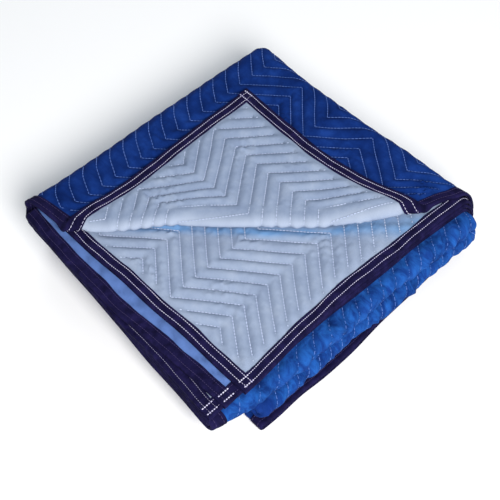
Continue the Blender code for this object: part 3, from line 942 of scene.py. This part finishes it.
def three_colours(nodes, links, factor, deep, colour, pale, low, high):
    ramp = nodes.new("ShaderNodeValToRGB")
    ramp.color_ramp.elements[0].position = low
    ramp.color_ramp.elements[0].color = (*deep, 1.0)
    ramp.color_ramp.elements[1].position = high
    ramp.color_ramp.elements[1].color = (*pale, 1.0)
    middle = ramp.color_ramp.elements.new((low + high) / 2)
    middle.color = (*colour, 1.0)
    links.new(factor, ramp.inputs["Fac"])
    return ramp.outputs["Color"]


def cloth_material(
    name, colour, deep, pale, mottle, weave, painted_light_and_shade_colour=None, painted_highlight_colour=None, patchy=0.0, painted_shade_strength=0.0,
):
    """Quilted cloth: mottled colour, painted shade in the stitched grooves, painted light and shade and painted
    highlights from the vertex numbers, with a fine weave.
    """
    material = bpy.data.materials.new(name)
    material.use_nodes = True
    nodes = material.node_tree.nodes
    links = material.node_tree.links
    shader = shader_of(material)
    shader.inputs["Roughness"].default_value = 0.9
    shader.inputs["Specular IOR Level"].default_value = 0.06
    where = nodes.new("ShaderNodeTexCoord").outputs["UV"]
    shade = three_colours(nodes, links, noise(nodes, links, where, mottle, 6.0, 0.66), deep, colour, pale, 0.32, 0.68)
    # Painted light and shade: a lighter blue where light falls on the rolls, a blue shadow under the crease, broken
    # into patches where asked.
    if painted_light_and_shade_colour:
        light_and_shade = attribute_value(nodes, "painted_light_and_shade")
        if patchy:
            patches = noise(nodes, links, where, 62.0, 6.0, 0.70, 0.6)
            spread = calculated(nodes, links, "MULTIPLY", calculated(nodes, links, "SUBTRACT", patches, 0.40), 4.2, True)
            share = calculated(nodes, links, "ADD", calculated(nodes, links, "MULTIPLY", spread, patchy), 1.0 - patchy)
            light_and_shade = calculated(nodes, links, "MULTIPLY", light_and_shade, share, True)
        shade = mixed(nodes, links, light_and_shade, shade, painted_light_and_shade_colour)
        # Painted highlight on the paler strip, the crease's rim and the front layer.
        shade = mixed(nodes, links, attribute_value(nodes, "painted_highlight"), shade, painted_highlight_colour)
    # Painted shade in the stitched grooves and under the crease.
    if painted_shade_strength:
        painted_shade_amount = calculated(nodes, links, "MULTIPLY", attribute_value(nodes, "painted_shade_amount"), painted_shade_strength, True)
        shade = mixed(nodes, links, painted_shade_amount, shade, tuple(0.35 * c for c in deep))
    links.new(shade, shader.inputs["Base Color"])
    threads = []
    for direction in ("X", "Y"):
        wave = nodes.new("ShaderNodeTexWave")
        wave.wave_type = "BANDS"
        wave.bands_direction = direction
        wave.inputs["Scale"].default_value = weave
        wave.inputs["Distortion"].default_value = 1.2
        wave.inputs["Detail"].default_value = 1.0
        links.new(where, wave.inputs["Vector"])
        threads.append(wave.outputs["Fac"])
    bump_weave = nodes.new("ShaderNodeBump")
    bump_weave.inputs["Strength"].default_value = 0.25
    bump_weave.inputs["Distance"].default_value = 0.0003
    links.new(calculated(nodes, links, "MULTIPLY", *threads), bump_weave.inputs["Height"])
    bump_fuzz = nodes.new("ShaderNodeBump")
    bump_fuzz.inputs["Strength"].default_value = 0.6
    bump_fuzz.inputs["Distance"].default_value = 0.0008
    links.new(noise(nodes, links, where, 330.0, 4.0), bump_fuzz.inputs["Height"])
    links.new(bump_weave.outputs["Normal"], bump_fuzz.inputs["Normal"])
    links.new(bump_fuzz.outputs["Normal"], shader.inputs["Normal"])
    return material


def thread_material(name, colour, pale, painted_light_and_shade_colour=None):
    material = bpy.data.materials.new(name)
    material.use_nodes = True
    nodes = material.node_tree.nodes
    links = material.node_tree.links
    shader = shader_of(material)
    shader.inputs["Roughness"].default_value = 0.7
    shader.inputs["Specular IOR Level"].default_value = 0.15
    where = nodes.new("ShaderNodeTexCoord").outputs["Object"]
    middle = tuple((c + p) / 2 for c, p in zip(colour, pale))
    shade = three_colours(nodes, links, noise(nodes, links, where, 70.0, 3.0), colour, middle, pale, 0.35, 0.65)
    # Painted shade on the thread of the lower layers.
    if painted_light_and_shade_colour:
        shade = mixed(nodes, links, attribute_value(nodes, "painted_light_and_shade"), shade, painted_light_and_shade_colour)
    links.new(shade, shader.inputs["Base Color"])
    return material


# Build

face = panel("face_cloth", -1, FACE_ZONES)
reverse = panel("reverse_cloth", 1, REVERSE_ZONES)
tapes = {edge: tape(f"{edge}_tape", edge) for edge in TO_CLOTH}


def before_crease(a, b):
    return not (on_top(a, b) and across_crease(a, b) > CORNER_START + CORNER_LENGTH / 2)


def past_crease(a, b):
    return across_crease(a, b) > CORNER_START - 2 * MM


def always(a, b):
    return True


TAPE_SIDE = TAPE_WIDTH + 3 * MM
face_thread = quilting_thread("face_thread", -1, [
    (TAPE_SIDE, 520 * MM, 1430 * MM, LENGTH - TAPE_SIDE, before_crease),
    (2 * QUARTER_A - 70 * MM, 2 * QUARTER_A + 70 * MM, 2 * QUARTER_B + 25 * MM, LENGTH - TAPE_SIDE, always),
])
reverse_thread = quilting_thread("reverse_thread", 1, [
    (TAPE_SIDE, QUARTER_A, 1600 * MM, LENGTH - TAPE_SIDE, past_crease),
    (TAPE_SIDE, 420 * MM, TAPE_SIDE, 420 * MM, always),
])
tape_thread = binding_thread("tape_thread")

# Face cloth: painted lighter blue where light falls on the rolls, painted highlight on the front-left strip, painted
# shade in the grooves.
blue = cloth_material(
    "royal_blue_quilting", (0.0040, 0.024, 0.150), (0.0020, 0.014, 0.095), (0.0090, 0.042, 0.225), 30.0, 260.0,
    painted_light_and_shade_colour=(0.017, 0.115, 0.430), painted_highlight_colour=(0.100, 0.180, 0.440), patchy=0.90, painted_shade_strength=0.30,
)
# Reverse cloth: painted blue shadow under the crease, painted highlight on the crease's rim and the front layer,
# painted shade in the grooves.
light = cloth_material(
    "light_blue_quilting", (0.240, 0.300, 0.425), (0.195, 0.250, 0.370), (0.290, 0.350, 0.470), 26.0, 300.0,
    painted_light_and_shade_colour=(0.100, 0.250, 0.500), painted_highlight_colour=(0.440, 0.500, 0.620), painted_shade_strength=0.14,
)
navy = cloth_material(
    "navy_binding", (0.0075, 0.0062, 0.036), (0.0034, 0.0028, 0.018), (0.0140, 0.0110, 0.060), 60.0, 380.0,
)
pale_blue_thread = thread_material("pale_blue_thread", (0.06, 0.13, 0.40), (0.12, 0.21, 0.56))
ice_thread = thread_material("ice_thread", (0.38, 0.45, 0.61), (0.50, 0.57, 0.74))
# The last colour is the painted shade on the thread of the lower layers.
white_thread = thread_material("white_thread", (0.46, 0.44, 0.66), (0.74, 0.72, 0.88), (0.050, 0.038, 0.110))

face.data.materials.append(blue)
reverse.data.materials.append(light)
for piece in tapes.values():
    piece.data.materials.append(navy)
face_thread.data.materials.append(pale_blue_thread)
reverse_thread.data.materials.append(ice_thread)
tape_thread.data.materials.append(white_thread)

NODES = {"side_1": "binding_side_1", "side_2": "binding_side_2", "end_1": "binding_end_1", "end_2": "binding_end_2"}
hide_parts("face_panel")
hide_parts("reverse_panel")
for edge, piece in tapes.items():
    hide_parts(NODES[edge])
for piece in [face, reverse, *tapes.values(), face_thread, reverse_thread, tape_thread]:
    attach(piece, "root")


# Floor, light and camera

floor_mesh = bpy.data.meshes.new("floor")
floor_mesh.from_pydata([(-4, -4, 0), (4, -4, 0), (4, 4, 0), (-4, 4, 0)], [], [(0, 1, 2, 3)])
floor = bpy.data.objects.new("floor", floor_mesh)
bpy.context.scene.collection.objects.link(floor)
floor_material = bpy.data.materials.new("pale_floor")
floor_material.use_nodes = True
shader_of(floor_material).inputs["Base Color"].default_value = (0.96, 0.96, 0.96, 1.0)
shader_of(floor_material).inputs["Roughness"].default_value = 0.9
floor_mesh.materials.append(floor_material)

world = bpy.data.worlds.new("studio")
bpy.context.scene.world = world
world.use_nodes = True
background = world.node_tree.nodes["Background"]
background.inputs["Color"].default_value = (0.86, 0.93, 1.0, 1.0)
background.inputs["Strength"].default_value = 0.38
bpy.context.scene.view_settings.view_transform = "Standard"


def area_light(name, place_at, aim, size, power, colour):
    data = bpy.data.lights.new(name, "AREA")
    data.shape = "DISK"
    data.size = size
    data.energy = power
    data.color = colour
    lamp = bpy.data.objects.new(name, data)
    bpy.context.scene.collection.objects.link(lamp)
    direction = Vector(aim) - Vector(place_at)
    lamp.matrix_world = Matrix.Translation(place_at) @ direction.to_track_quat("-Z", "Y").to_matrix().to_4x4()
    return lamp


area_light("key", (2.0, -0.95, 1.9), (0, 0, 0.06), 1.3, 110.0, (1.0, 0.98, 0.96))
area_light("fill", (-1.8, 1.3, 1.7), (0, 0, 0.06), 2.0, 15.0, (0.94, 0.97, 1.0))

CAMERA_AZIMUTH = radians(49.556)
CAMERA_HEIGHT = radians(52.146)
CAMERA_ROLL = radians(-3.781)
CAMERA_DISTANCE = 1.7674
CAMERA_LENS = 86.4
CAMERA_TARGET = Vector((0.02718, -0.01752, 0.06))

back = Vector((
    sin(CAMERA_AZIMUTH) * cos(CAMERA_HEIGHT), -cos(CAMERA_AZIMUTH) * cos(CAMERA_HEIGHT), sin(CAMERA_HEIGHT),
))
forward = -back
right = forward.cross(Vector((0, 0, 1))).normalized()
up = right.cross(forward)
rolled_right = cos(CAMERA_ROLL) * right + sin(CAMERA_ROLL) * up
rolled_up = -sin(CAMERA_ROLL) * right + cos(CAMERA_ROLL) * up
camera_data = bpy.data.cameras.new("camera")
camera_data.lens = CAMERA_LENS
camera_data.sensor_width = 36.0
camera = bpy.data.objects.new("camera", camera_data)
bpy.context.scene.collection.objects.link(camera)
facing = Matrix((rolled_right, rolled_up, back)).transposed().to_4x4()
camera.matrix_world = Matrix.Translation(CAMERA_TARGET + back * CAMERA_DISTANCE) @ facing
bpy.context.scene.camera = camera
